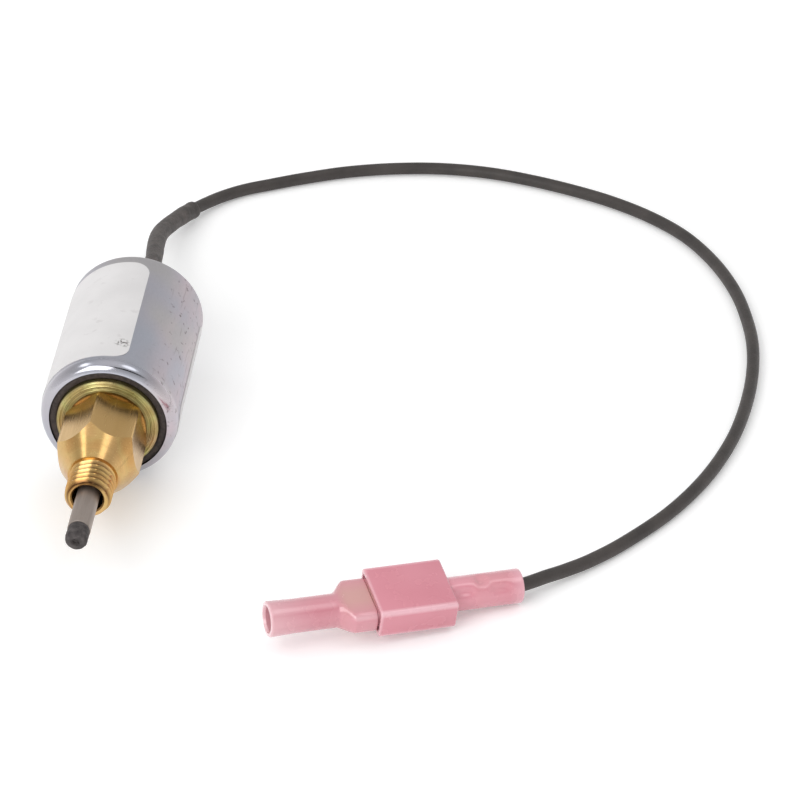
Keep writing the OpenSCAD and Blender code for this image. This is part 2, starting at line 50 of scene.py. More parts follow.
# The lead: one stranded wire in dark semi-matt insulation. It is crimped to the winding's tail
# inside the can, comes out through the closed end, sinks to the surface and curls round in one
# loose loop to the connector. The route is the solids' own, in metres.
MM = 0.001
LEAD_R = 1.15 * MM
ROUTE_STEPS = 8
AXIS_Z = 11.97 * MM
ROUTE = [(0, 30.2144, 11.97), (0, 35.0144, 11.97), (0, 42, 11.8), (0, 49, 11),
         (-0.3, 56.5, 9.5), (-1.1, 64.5, 7.6), (-1.3, 71, 6), (-0.4, 76.5, 4.6),
         (1.2, 82, 3.3), (2.8, 86, 2.4), (4.9, 89.7, 1.8), (7.7, 93.2, 1.4), (11.5, 96.3, 1.2),
         (16.5, 98.9, 1.15), (22.5, 101.7, 1.15), (30.5, 104.8, 1.15), (39.5, 106.9, 1.15),
         (48.5, 107.7, 1.15), (57.5, 107, 1.15), (66, 104.9, 1.15), (74.5, 101.8, 1.15),
         (82.5, 98, 1.15), (90, 93, 1.15), (96.5, 86.8, 1.15), (101.6, 79.2, 1.15),
         (105.4, 71, 1.15), (108, 62.4, 1.15), (109.9, 51, 1.15), (110, 39, 1.15),
         (108.5, 26.7, 1.15), (106, 16.4, 1.15), (102, 6, 1.15), (96.4, -4, 1.15),
         (89.3, -13.2, 1.2), (84, -18.9, 1.4), (80, -22.6, 1.8), (76.8, -25.4, 2.3),
         (73.4, -28.3, 2.7), (70, -30.1, 2.95), (66.6, -31.6, 3.2)]


def smooth_route(first, last, steps):
    """Points on the smooth curve through the route, from its point first to its point last."""
    points = []
    for i in range(first, last):
        a, b, c, d = (Vector(ROUTE[max(0, min(len(ROUTE) - 1, i + k))]) * MM
                      for k in (-1, 0, 1, 2))
        for k in range(steps):
            t = k / steps
            points.append(0.5 * (2 * b + (c - a) * t + (2 * a - 5 * b + 4 * c - d) * t ** 2
                                 + (3 * b - a - 3 * c + d) * t ** 3))
    points.append(Vector(ROUTE[last]) * MM)
    return points


def curve_along(name, points, radius, shares=None):
    """A round curve through the points; shares thins it from point to point."""
    curve = bpy.data.curves.new(name, "CURVE")
    curve.dimensions = "3D"
    curve.bevel_depth = radius
    curve.bevel_resolution = 7
    spline = curve.splines.new("POLY")
    spline.points.add(len(points) - 1)
    for i, place in enumerate(points):
        spline.points[i].co = (*place, 1)
        spline.points[i].radius = shares[i] if shares else 1
    spline.use_smooth = True
    return curve


def ink(red, green, blue):
    """A colour as the eye reads it, 0 to 255, turned into what the shader takes."""
    return [(c / 255 / 12.92 if c < 11 else ((c / 255 + 0.055) / 1.055) ** 2.4)
            for c in (red, green, blue)] + [1]


def finish(name, dark, light, patch, rough, grain, depth, metal=0.0, stretch=(1, 1, 1)):
    """A surface with two tones in patches, an uneven gloss and a fine relief; sizes in mm."""
    made = bpy.data.materials.new(name)
    made.use_nodes = True
    nodes, links = made.node_tree.nodes, made.node_tree.links
    shader = nodes["Principled BSDF"]
    shader.inputs["Metallic"].default_value = metal
    where = nodes.new("ShaderNodeTexCoord")
    turn = nodes.new("ShaderNodeMapping")
    turn.name = "turn"
    turn.inputs["Scale"].default_value = stretch
    links.new(where.outputs["Object"], turn.inputs["Vector"])

    patches = nodes.new("ShaderNodeTexNoise")
    patches.name = "patches"
    patches.inputs["Scale"].default_value = 1 / (patch * MM)
    patches.inputs["Detail"].default_value = 4
    spread = nodes.new("ShaderNodeMapRange")
    spread.inputs["From Min"].default_value = 0.32
    spread.inputs["From Max"].default_value = 0.68
    tone = nodes.new("ShaderNodeMix")
    tone.data_type = "RGBA"
    tone.inputs["A"].default_value = dark
    tone.inputs["B"].default_value = light
    links.new(turn.outputs["Vector"], patches.inputs["Vector"])
    links.new(patches.outputs["Fac"], spread.inputs["Value"])
    links.new(spread.outputs["Result"], tone.inputs["Factor"])
    links.new(tone.outputs["Result"], shader.inputs["Base Color"])

    gloss = nodes.new("ShaderNodeMapRange")
    gloss.name = "gloss"
    gloss.inputs["From Min"].default_value = 0.3
    gloss.inputs["From Max"].default_value = 0.7
    gloss.inputs["To Min"].default_value = rough[0]
    gloss.inputs["To Max"].default_value = rough[1]
    grains = nodes.new("ShaderNodeTexNoise")
    grains.inputs["Scale"].default_value = 1 / (grain * MM)
    grains.inputs["Detail"].default_value = 3
    relief = nodes.new("ShaderNodeBump")
    relief.name = "relief"
    relief.inputs["Strength"].default_value = 1
    relief.inputs["Distance"].default_value = depth * MM
    links.new(turn.outputs["Vector"], grains.inputs["Vector"])
    links.new(grains.outputs["Fac"], gloss.inputs["Value"])
    links.new(gloss.outputs["Result"], shader.inputs["Roughness"])
    links.new(grains.outputs["Fac"], relief.inputs["Height"])
    links.new(relief.outputs["Normal"], shader.inputs["Normal"])
    return made


def over(made, factor, colour, blend="MIX"):
    """Lays a colour over a material's own where the factor says. Either may be a node's
    output or a plain value."""
    nodes, links = made.node_tree.nodes, made.node_tree.links
    shader = nodes["Principled BSDF"]
    layer = nodes.new("ShaderNodeMix")
    layer.data_type, layer.blend_type = "RGBA", blend
    links.new(shader.inputs["Base Color"].links[0].from_socket, layer.inputs["A"])
    for given, socket in ((factor, "Factor"), (colour, "B")):
        if isinstance(given, bpy.types.NodeSocket):
            links.new(given, layer.inputs[socket])
        else:
            layer.inputs[socket].default_value = given
    links.new(layer.outputs["Result"], shader.inputs["Base Color"])


def ranged(made, source, low, high, least=0.0, most=1.0):
    """The source between low and high, as a share between least and most."""
    share = made.node_tree.nodes.new("ShaderNodeMapRange")
    share.inputs["From Min"].default_value = low
    share.inputs["From Max"].default_value = high
    share.inputs["To Min"].default_value = least
    share.inputs["To Max"].default_value = most
    made.node_tree.links.new(source, share.inputs["Value"])
    return share.outputs["Result"]


def times(made, one, other):
    """The product of two shares."""
    product = made.node_tree.nodes.new("ShaderNodeMath")
    product.operation = "MULTIPLY"
    made.node_tree.links.new(one, product.inputs[0])
    made.node_tree.links.new(other, product.inputs[1])
    return product.outputs["Value"]


def clouds(made, size, detail=2, stretch=(1, 1, 1)):
    """Soft noise through the piece, its size in mm."""
    nodes, links = made.node_tree.nodes, made.node_tree.links
    turn = nodes.new("ShaderNodeMapping")
    turn.inputs["Scale"].default_value = stretch
    links.new(nodes["Texture Coordinate"].outputs["Object"], turn.inputs["Vector"])
    noise_node = nodes.new("ShaderNodeTexNoise")
    noise_node.inputs["Scale"].default_value = 1 / (size * MM)
    noise_node.inputs["Detail"].default_value = detail
    links.new(turn.outputs["Vector"], noise_node.inputs["Vector"])
    return noise_node.outputs["Fac"]


def bloom(made, size, tints):
    """A faint play of tints over a plated surface, as thin films have."""
    ramp = made.node_tree.nodes.new("ShaderNodeValToRGB")
    for k, tint in enumerate(tints):
        place = 0.35 + 0.3 * k / (len(tints) - 1)
        stop = ramp.color_ramp.elements[k] if k < 2 else ramp.color_ramp.elements.new(place)
        stop.position, stop.color = place, ink(*tint)
    made.node_tree.links.new(clouds(made, size, 1), ramp.inputs["Fac"])
    over(made, 1, ramp.outputs["Color"], "MULTIPLY")


insulation = finish("lead_insulation", ink(50, 45, 43), ink(66, 60, 57), 5, (0.42, 0.6),
                    0.35, 0.03)
lead_points = smooth_route(0, len(ROUTE) - 1, ROUTE_STEPS)
lead_curve = curve_along("lead", lead_points, LEAD_R)
lead_curve.use_fill_caps = True
lead_curve.materials.append(insulation)
lead = bpy.data.objects.new("lead", lead_curve)
bpy.context.scene.collection.objects.link(lead)
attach(lead, "solenoid")
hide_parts("lead_wire")

# The bobbin: a spool moulded in pale nylon, which carries the winding and sits on the guide
# tube. A notch in its back flange lets the winding's tail out to the lead.


def dress(node, made):
    """Gives a CAD node that keeps its shape a better material."""
    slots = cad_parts[node].material_slots
    for place in slots:
        place.material = made
    if not slots:
        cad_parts[node].data.materials.append(made)


dress("bobbin", finish("spool_nylon", ink(208, 203, 188), ink(224, 219, 204), 3, (0.4, 0.55),
                       0.3, 0.01))

# The winding: enamelled copper wire in close turns on the spool. Each turn shows as a ridge
# across the axis.
WAVE_SCALE = 2 * math.pi / 20  # gives a wave texture one ridge to each unit


def ridged(made, pitch, deep):
    """Adds ridges across the can's axis, one to each pitch; sizes in mm."""
    nodes, links = made.node_tree.nodes, made.node_tree.links
    ridges = nodes.new("ShaderNodeTexWave")
    ridges.bands_direction = "Y"
    ridges.inputs["Scale"].default_value = WAVE_SCALE / (pitch * MM)
    ridges.inputs["Distortion"].default_value = 0.3
    links.new(nodes["turn"].outputs["Vector"], ridges.inputs["Vector"])
    crest = nodes.new("ShaderNodeBump")
    crest.inputs["Distance"].default_value = deep * MM
    links.new(ridges.outputs["Fac"], crest.inputs["Height"])
    links.new(nodes["relief"].outputs["Normal"], crest.inputs["Normal"])
    links.new(crest.outputs["Normal"], nodes["Principled BSDF"].inputs["Normal"])
    return made


dress("coil_winding", ridged(finish("copper", ink(165, 84, 40), ink(190, 108, 60), 2,
                                    (0.25, 0.4), 0.4, 0.005, 0.9), 0.3, 0.06))

# The tape: two turns of amber polyester film. They hold the winding down and keep it off the
# can's wall.
dress("coil_wrap", finish("tape", ink(186, 150, 60), ink(206, 176, 84), 4, (0.25, 0.4),
                          1.2, 0.02))

# The guide tube: thin drawn brass, in which the armature slides. Drawing leaves fine lines
# along it.
dress("guide_tube", finish("thin_brass", ink(176, 150, 96), ink(196, 170, 112), 1.5,
                           (0.25, 0.4), 0.2, 0.006, 1, (1, 0.08, 1)))

# The fixed core: soft iron, turned, in the back of the guide tube. It draws the armature in
# when current flows.
dress("rear_core", finish("core_iron", ink(126, 128, 131), ink(150, 152, 154), 1.5,
                          (0.35, 0.5), 0.25, 0.01, 1))

# The flux washer: a pressed steel washer between the spool and the can's closed end, which
# closes the magnetic circuit there.
dress("flux_washer", finish("washer_steel", ink(118, 120, 124), ink(140, 143, 147), 2,
                            (0.3, 0.5), 0.4, 0.01, 1))

# The shim: a thin rolled brass washer on the core's face. It keeps the armature from sticking
# to the core once the current stops.
dress("core_shim", finish("shim_brass", ink(190, 156, 92), ink(212, 178, 112), 1, (0.25, 0.4),
                          0.2, 0.004, 1))

# The return spring: cold-wound steel wire in the pockets of the armature and the core. It
# pushes the plunger out.
dress("return_spring", finish("spring_steel", ink(140, 142, 145), ink(168, 170, 173), 0.8,
                              (0.25, 0.4), 0.15, 0.004, 1))

# The armature: a plated iron slug that slides in the guide tube and carries the pin. Sliding
# has left fine lines along it.
dress("armature", finish("armature_iron", ink(132, 134, 137), ink(158, 160, 163), 1.5,
                         (0.3, 0.45), 0.3, 0.006, 1, (1, 0.2, 1)))

# The plunger's pin: hard steel, centreless ground, warm grey, with fine lines and a few
# smudges along it. A spigot on its front end holds the tip.
RIM_Y = -0.98565 * MM
PIN_R = 1.95
TIP_BACK = -31.5288
PIN_BACK = 9.48
PIN_EDGE = 0.12
SPIGOT_R, SPIGOT_LEN = 1.0, 1.8
SMALL_STEPS = 96


def turned(profile, steps=192, closed=True):
    """Spins a half section about the can's axis. Its points are radius and distance behind
    the rim, in mm."""
    shape = bmesh.new()
    corners = [shape.verts.new((0, RIM_Y + back * MM, AXIS_Z + radius * MM))
               for radius, back in profile]
    edges = [shape.edges.new(pair) for pair in zip(corners, corners[1:])]
    if closed:
        edges.append(shape.edges.new((corners[-1], corners[0])))
    bmesh.ops.spin(shape, geom=corners + edges, cent=(0, 0, AXIS_Z), axis=(0, 1, 0),
                   angle=2 * math.pi, steps=steps, use_merge=True)
    bmesh.ops.remove_doubles(shape, verts=shape.verts, dist=0.0005 * MM)
    bmesh.ops.recalc_face_normals(shape, faces=shape.faces)
    return shape


def arc(radius_at, back_at, size, start, end, steps):
    """Points of a rounded edge in a half section; 0 degrees is outward, 90 is backward."""
    return [(radius_at + size * math.cos(math.radians(start + (end - start) * k / steps)),
             back_at + size * math.sin(math.radians(start + (end - start) * k / steps)))
            for k in range(steps + 1)]


def piece(shape, name, made, body, node, soft=40):
    """Makes the finished mesh an object that rides on its body in place of the CAD node."""
    mesh = bpy.data.meshes.new(name)
    shape.to_mesh(mesh)
    shape.free()
    mesh.shade_smooth()
    mesh.set_sharp_from_angle(angle=math.radians(soft))
    mesh.materials.append(made)
    made_object = bpy.data.objects.new(name, mesh)
    bpy.context.scene.collection.objects.link(made_object)
    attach(made_object, body)
    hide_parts(node)
    return made_object


pin_steel = finish("pin_steel", ink(142, 131, 124), ink(174, 163, 155), 1.6, (0.42, 0.58),
                   0.16, 0.004, 0.85, (1, 0.06, 1))
pin_shape = turned([(0, TIP_BACK - SPIGOT_LEN), (SPIGOT_R, TIP_BACK - SPIGOT_LEN),
                    (SPIGOT_R, TIP_BACK)]
                   + arc(PIN_R - PIN_EDGE, TIP_BACK + PIN_EDGE, PIN_EDGE, -90, 0, 3)
                   + arc(PIN_R - PIN_EDGE, PIN_BACK - PIN_EDGE, PIN_EDGE, 0, 90, 3)
                   + [(0, PIN_BACK)], SMALL_STEPS, False)
piece(pin_shape, "steel_pin", pin_steel, "plunger", "plunger_pin")

# The tip: dark fuel-proof rubber, moulded on the spigot and ground to size, so it is rough and
# a little uneven. Its end has a rounded edge and a small pit.
TIP_FRONT = -35.0288
TIP_PIT = ((0, 0.7), (0.46, 0.65), (0.58, 0.2), (0.8, 0))
TIP_ROUND, TIP_ROW, TIP_ROWS = 1, 0.3, 7
TIP_LUMPS = ((900, 0.7), (2600, 0.5))
TIP_WORN, TIP_UNEVEN = 0.08, 0.09
tip_rubber = finish("tip_rubber", ink(50, 45, 45), ink(84, 78, 77), 0.9, (0.65, 0.9), 0.18,
                    0.05)
tip_shape = turned([(radius, TIP_FRONT + deep) for radius, deep in TIP_PIT]
                   + arc(PIN_R - TIP_ROUND, TIP_FRONT + TIP_ROUND, TIP_ROUND, -90, 0, 8)
                   + [(PIN_R, TIP_FRONT + TIP_ROUND + TIP_ROW * k)
                      for k in range(1, TIP_ROWS + 1)]
                   + [(PIN_R - 0.08, TIP_BACK - 0.12), (PIN_R - 0.16, TIP_BACK),
                      (SPIGOT_R + 0.01, TIP_BACK), (SPIGOT_R + 0.01, TIP_BACK - SPIGOT_LEN),
                      (0, TIP_BACK - SPIGOT_LEN)], SMALL_STEPS, False)
for corner in tip_shape.verts:
    out = Vector((corner.co.x, 0, corner.co.z - AXIS_Z))
    if out.length > 0.7 * MM and corner.co.y < RIM_Y + (TIP_BACK - 0.01) * MM:
        lump = sum(noise.noise(corner.co * often) * share for often, share in TIP_LUMPS)
        corner.co -= out.normalized() * (TIP_WORN + TIP_UNEVEN * lump) * MM
piece(tip_shape, "rubber_tip", tip_rubber, "plunger", "pin_tip")

# The front plate: turned steel with a yellow zinc plating, pressed into the can and seated on
# its seal. The tool's passes stay as fine rings on its raised face.
PLATE_FRONT = -0.7
PLATE_FACE_R = 8.8
PLATE_R = 10.55
PLATE_STEP = 3.05
PLATE_BACK = 5.45
SHANK_R = 5.0
SHANK_CLEAR = 0.03
FACE_EDGE, FLANGE_EDGE = 0.25, 0.1
GROOVES, GROOVE_START, GROOVE_STEP, GROOVE_HALF = 10, 6.3, 0.24, 0.08
GROOVE_DEEP = (0.03, 0.055, 0.08)


def turning_marks(made, width, deep, darker, streak):
    """Adds tool marks that run round the can's axis, as relief and as darker lines, sizes in
    mm. They draw each highlight out across them."""
    nodes, links = made.node_tree.nodes, made.node_tree.links
    centre = nodes.new("ShaderNodeMapping")
    centre.inputs["Location"].default_value = (0, 0, -AXIS_Z)
    links.new(nodes["Texture Coordinate"].outputs["Object"], centre.inputs["Vector"])
    parts = nodes.new("ShaderNodeSeparateXYZ")
    links.new(centre.outputs["Vector"], parts.inputs["Vector"])
    flat = nodes.new("ShaderNodeCombineXYZ")
    links.new(parts.outputs["X"], flat.inputs["X"])
    links.new(parts.outputs["Z"], flat.inputs["Y"])
    radius = nodes.new("ShaderNodeVectorMath")
    radius.operation = "LENGTH"
    links.new(flat.outputs["Vector"], radius.inputs[0])
    section = nodes.new("ShaderNodeCombineXYZ")
    links.new(radius.outputs["Value"], section.inputs["X"])
    links.new(parts.outputs["Y"], section.inputs["Y"])
    marks = nodes.new("ShaderNodeTexNoise")
    marks.inputs["Scale"].default_value = 1 / (width * MM)
    marks.inputs["Detail"].default_value = 2
    links.new(section.outputs["Vector"], marks.inputs["Vector"])
    cuts = nodes.new("ShaderNodeBump")
    cuts.inputs["Distance"].default_value = deep * MM
    links.new(marks.outputs["Fac"], cuts.inputs["Height"])
    links.new(nodes["relief"].outputs["Normal"], cuts.inputs["Normal"])
    links.new(cuts.outputs["Normal"], nodes["Principled BSDF"].inputs["Normal"])
    over(made, ranged(made, marks.outputs["Fac"], 0.35, 0.6, darker, 0), (0.3, 0.25, 0.2, 1),
         "MULTIPLY")
    around = nodes.new("ShaderNodeVectorMath")
    around.operation = "CROSS_PRODUCT"
    around.inputs[1].default_value = (0, 1, 0)
    links.new(centre.outputs["Vector"], around.inputs[0])
    links.new(around.outputs["Vector"], nodes["Principled BSDF"].inputs["Tangent"])
    nodes["Principled BSDF"].inputs["Anisotropic"].default_value = streak
    nodes["Principled BSDF"].inputs["Anisotropic Rotation"].default_value = 0.25
    return made


yellow_zinc = turning_marks(finish("yellow_zinc", ink(184, 172, 124), ink(213, 202, 158), 2.5,
                                   (0.26, 0.4), 0.3, 0.003, 1), 0.2, 0.012, 0.7, 0.5)
bloom(yellow_zinc, 6, ((255, 234, 232), (246, 255, 230), (255, 250, 236)))
grooves = []
for k in range(GROOVES):
    mid = GROOVE_START + GROOVE_STEP * k
    grooves += [(mid - GROOVE_HALF, PLATE_FRONT), (mid, PLATE_FRONT + GROOVE_DEEP[k % 3]),
                (mid + GROOVE_HALF, PLATE_FRONT)]
plate_shape = turned([(SHANK_R + SHANK_CLEAR, PLATE_FRONT)] + grooves
                     + [(PLATE_FACE_R - FACE_EDGE, PLATE_FRONT),
                        (PLATE_FACE_R, PLATE_FRONT + FACE_EDGE), (PLATE_FACE_R, PLATE_STEP),
                        (PLATE_R - FLANGE_EDGE, PLATE_STEP),
                        (PLATE_R, PLATE_STEP + FLANGE_EDGE), (PLATE_R, PLATE_BACK),
                        (SHANK_R + SHANK_CLEAR, PLATE_BACK)])
piece(plate_shape, "front_plate", yellow_zinc, "solenoid", "pole_plate", 20)

# The fitting: one piece of free-cutting brass, turned from hexagonal bar. The bar's flats stay
# as the hexagon for the spanner, the cone and the hollow nose are turned down from it, and the
# nose carries an M8 thread. Its shank is staked into the front plate.
HEX_BACK = -1.2
CONE_START = -10.4
NOSE_START = -16.4288
NOSE_END = -22.6288
RELIEF_END = NOSE_START - 0.4
FLAT_R = 6.5
CORNER_R = FLAT_R / math.cos(math.radians(30))
CONE_END_R = 4.3
CONE_SLOPE = math.tan(math.radians(28))
CHAMFER_LEN, CHAMFER_WIDE = 0.6, 0.9
CHAMFER_IN_R = CORNER_R - CHAMFER_WIDE
COLLAR_R = 6.85
COLLAR_SHADE = 0.75
NOSE_R = 4.0
BORE_R = 2.65
HEX_TURN = math.radians(-7.6)
CORNER_ROUND = 0.5
PITCH = 1.25
THREAD_DEEP = 0.7
THREAD_EDGE, BORE_EDGE, RELIEF_DEEP = 0.6, 0.25, 0.1
FLANK_SLOPE, FLANK_START = 2.6, 0.15
ROWS = 12


def hexagon(angle):
    """Distance from the axis to the hexagon at an angle from the top, corners just broken."""
    turned_by = (angle - HEX_TURN) % (math.pi / 3)
    off = min(turned_by, math.pi / 3 - turned_by)
    middle = (FLAT_R - CORNER_ROUND) / math.cos(math.pi / 6)
    flat = FLAT_R / math.cos(math.pi / 6 - off)
    reach = middle * math.sin(off)
    if reach < CORNER_ROUND:
        return min(flat, middle * math.cos(off) + math.sqrt(CORNER_ROUND ** 2 - reach ** 2))
    return flat


thread_len = RELIEF_END - NOSE_END - THREAD_EDGE
row_count = int(thread_len / (PITCH / ROWS))
blank = [(BORE_R, NOSE_END + BORE_EDGE), (BORE_R + BORE_EDGE, NOSE_END),
         (NOSE_R - THREAD_EDGE, NOSE_END)]
blank += [(NOSE_R - THREAD_EDGE + THREAD_EDGE * k / 6, NOSE_END + THREAD_EDGE * k / 6)
          for k in range(1, 7)]
blank += [(NOSE_R, NOSE_END + THREAD_EDGE + thread_len * k / (row_count + 1))
          for k in range(1, row_count + 1)]
blank += [(NOSE_R, RELIEF_END), (NOSE_R - RELIEF_DEEP, RELIEF_END + RELIEF_DEEP),
          (NOSE_R - RELIEF_DEEP, NOSE_START), (CONE_END_R, NOSE_START)]
blank += [(CORNER_R, CONE_START), (CORNER_R, HEX_BACK - CHAMFER_LEN), (CHAMFER_IN_R, HEX_BACK),
          (COLLAR_R, HEX_BACK), (COLLAR_R, PLATE_FRONT), (SHANK_R, PLATE_FRONT),
          (SHANK_R, PLATE_BACK), (BORE_R, PLATE_BACK)]
fitting_shape = turned(blank, 240)


def near(value, aim):
    """Whether two measures in mm are the same, apart from rounding."""
    return abs(value - aim) < 0.002


# Painted shade: each point of the fitting gets a share of darkening. The collar in the gap behind
# the hexagon gets 0.75, and the thread goes from none on its crests to full in its roots.
painted_shade = fitting_shape.verts.layers.float.new("painted_shade")
for corner in fitting_shape.verts:
    out = Vector((corner.co.x, 0, corner.co.z - AXIS_Z))
    radius, back = out.length / MM, (corner.co.y - RIM_Y) / MM
    angle = math.atan2(corner.co.x, corner.co.z - AXIS_Z)
    edge = hexagon(angle)
    if near(radius, CORNER_R) and near(back, CONE_START):
        radius, back = edge, NOSE_START + (edge - CONE_END_R) / CONE_SLOPE
    elif near(radius, CORNER_R) and near(back, HEX_BACK - CHAMFER_LEN):
        radius = edge
        back = HEX_BACK - max(0, edge - CHAMFER_IN_R) * CHAMFER_LEN / CHAMFER_WIDE
    elif near(radius, CHAMFER_IN_R) and near(back, HEX_BACK):
        radius = min(edge, CHAMFER_IN_R)
    elif near(radius, COLLAR_R):
        corner[painted_shade] = COLLAR_SHADE
    elif radius > BORE_R + 0.3 and NOSE_END - 0.01 < back < RELIEF_END - 0.1:
        turns = (-back / PITCH + angle / (2 * math.pi)) % 1
        flank = min(1, max(0, abs(turns - 0.5) * FLANK_SLOPE - FLANK_START))
        corner[painted_shade] = flank
        radius = min(radius, NOSE_R - THREAD_DEEP * flank)
    corner.co = Vector((0, RIM_Y + back * MM, AXIS_Z)) + out.normalized() * radius * MM
bmesh.ops.remove_doubles(fitting_shape, verts=fitting_shape.verts, dist=0.001 * MM)
bmesh.ops.recalc_face_normals(fitting_shape, faces=fitting_shape.faces)
brass = turning_marks(finish("brass", ink(197, 162, 104), ink(217, 186, 130), 5, (0.19, 0.28),
                             0.5, 0.001, 1), 0.1, 0.0008, 0.12, 0.5)
# Painted shade: the brass is darkened towards brown where the shade share set on the points says,
# at the collar and in the thread roots.
painted_shade_node = brass.node_tree.nodes.new("ShaderNodeAttribute")
painted_shade_node.attribute_name = "painted_shade"
over(brass, ranged(brass, painted_shade_node.outputs["Fac"], 0.15, 0.95, 0, 0.92), ink(78, 48, 30))
bloom(brass, 5, ((255, 240, 230), (255, 253, 244), (252, 240, 232)))
flat_brass = finish("flat_brass", ink(196, 158, 98), ink(211, 175, 118), 5, (0.18, 0.28),
                    0.2, 0.0008, 1, (1, 0.05, 1))
brass_nose = piece(fitting_shape, "brass_nose", brass, "solenoid", "brass_fitting", 24)
brass_nose.data.materials.append(flat_brass)
for face in brass_nose.data.polygons:
    out = Vector((face.center.x, 0, face.center.z - AXIS_Z)).length / MM
    if abs(face.normal.y) < 0.05 and out > FLAT_R - 0.05:
        if (face.center.y - RIM_Y) / MM < HEX_BACK - CHAMFER_LEN / 2:
            face.material_index = 1

# The seal: a black nitrile ring with a fine moulded grain. Its face shows between the can's
# rolled lip and the plate, and its wider back is squeezed between the lip and the flange.
SEAL_IN, SEAL_OUT = 8.83, 10.17
seal_rubber = finish("seal_rubber", ink(46, 39, 38), ink(70, 61, 58), 0.6, (0.6, 0.85),
                     0.16, 0.08)
seal_shape = turned([(SEAL_IN, 0.6), (SEAL_IN + 0.08, 0.4), (SEAL_IN + 0.25, 0.29),
                     (9.3, 0.26), (9.5, 0.25), (9.7, 0.26), (SEAL_OUT - 0.25, 0.29),
                     (SEAL_OUT - 0.08, 0.4), (SEAL_OUT, 0.6), (SEAL_OUT, 2.03),
                     (PLATE_R, 2.03), (PLATE_R, PLATE_STEP), (SEAL_IN, PLATE_STEP)])
piece(seal_shape, "sealing_ring", seal_rubber, "solenoid", "seal_ring")

# The can: drawn from 1.2 mm steel, with its front rim rolled in over the seal, then zinc
# plated and blued. It is bright where it is bent and carries small dark specks and fine
# scratches where it has been handled.
CAN_R, CAN_WALL, CAN_LEN, RIM_R, REAR_R = 11.85, 1.2, 36.0, 2.0, 1.4
LIP_R, LEAD_HOLE_R = 10.2, 3.0
lip_turn = math.degrees(math.acos((LIP_R - (CAN_R - RIM_R)) / RIM_R))
lip_turn_in = math.degrees(math.acos((LIP_R - (CAN_R - RIM_R)) / (RIM_R - CAN_WALL)))
zinc = finish("zinc", ink(180, 181, 186), ink(190, 191, 195), 14, (0.44, 0.54), 0.3, 0.003, 1,
              (1, 0.35, 1))
nodes, links = zinc.node_tree.nodes, zinc.node_tree.links
where_on_can = nodes.new("ShaderNodeSeparateXYZ")
links.new(nodes["Texture Coordinate"].outputs["Object"], where_on_can.inputs["Vector"])
# It has been handled on its right side, where it is pinkish, with dark specks and scratches.
handled = ranged(zinc, where_on_can.outputs["X"], 6 * MM, 9.5 * MM)
bloom(zinc, 14, ((246, 248, 255), (252, 248, 252), (255, 250, 246)))
over(zinc, times(zinc, handled,
                 ranged(zinc, clouds(zinc, 4, 2, (1, 0.3, 1)), 0.35, 0.65, 0.1, 0.5)),
     ink(204, 184, 188))
over(zinc, times(zinc, handled, ranged(zinc, clouds(zinc, 1.1), 0.64, 0.7, 0, 0.7)),
     ink(112, 100, 102))
over(zinc, times(zinc, handled,
                 ranged(zinc, clouds(zinc, 0.5, 2, (1, 0.1, 1)), 0.63, 0.71, 0, 0.4)),
     ink(136, 126, 128))
polish = nodes.new("ShaderNodeMath")
polish.operation = "MULTIPLY"
links.new(nodes["gloss"].outputs["Result"], polish.inputs[0])
links.new(ranged(zinc, where_on_can.outputs["Y"], RIM_Y + 1.5 * MM, RIM_Y + 3 * MM, 0.32, 1),
          polish.inputs[1])
links.new(polish.outputs["Value"], nodes["Principled BSDF"].inputs["Roughness"])
can_shape = turned(arc(CAN_R - RIM_R, RIM_R, RIM_R, -lip_turn, 0, 14)
                   + arc(CAN_R - REAR_R, CAN_LEN - REAR_R, REAR_R, 0, 90, 10)
                   + [(LEAD_HOLE_R + 0.1, CAN_LEN), (LEAD_HOLE_R, CAN_LEN - 0.1),
                      (LEAD_HOLE_R, CAN_LEN - CAN_WALL)]
                   + arc(CAN_R - REAR_R, CAN_LEN - REAR_R, 0.2, 90, 0, 3)
                   + arc(CAN_R - RIM_R, RIM_R, RIM_R - CAN_WALL, 0, -lip_turn_in, 6))
piece(can_shape, "zinc_can", zinc, "solenoid", "can")

# The label: matt off-white paper, wrapped three quarters round the can, with round corners.
# It is left bare. Handling has left faint smudges and a small scuff at a front corner.
LABEL_FRONT, LABEL_BACK = 2.8, 33.0
LABEL_T, LABEL_GAP, LABEL_CORNER = 0.12, 0.003, 3
LABEL_CUTS = 160
LABEL_START, LABEL_END = math.radians(88), math.radians(376)
label_r = CAN_R + LABEL_T - LABEL_GAP
label_wide = (LABEL_END - LABEL_START) * label_r
label_shape = bmesh.new()
outline = [label_shape.verts.new(place) for place in
           ((0, LABEL_FRONT, 0), (label_wide, LABEL_FRONT, 0), (label_wide, LABEL_BACK, 0),
            (0, LABEL_BACK, 0))]
label_shape.faces.new(outline)
bmesh.ops.bevel(label_shape, geom=outline, affect="VERTICES", offset=LABEL_CORNER, segments=8,
                profile=0.5, material=-1)
for k in range(1, LABEL_CUTS):
    bmesh.ops.bisect_plane(label_shape, plane_co=(label_wide * k / LABEL_CUTS, 0, 0),
                           plane_no=(1, 0, 0),
                           geom=label_shape.verts[:] + label_shape.edges[:] + label_shape.faces[:])
bmesh.ops.solidify(label_shape, geom=label_shape.faces, thickness=LABEL_T - 2 * LABEL_GAP)
top = max(v.co.z for v in label_shape.verts)
for corner in label_shape.verts:
    round_at = LABEL_START + corner.co.x / label_r
    radius = (label_r - (top - corner.co.z)) * MM
    corner.co = (radius * math.sin(round_at), RIM_Y + corner.co.y * MM,
                 AXIS_Z + radius * math.cos(round_at))
bmesh.ops.recalc_face_normals(label_shape, faces=label_shape.faces)
paper = finish("paper", ink(218, 216, 216), ink(227, 225, 225), 9, (0.5, 0.65), 0.12, 0.006)
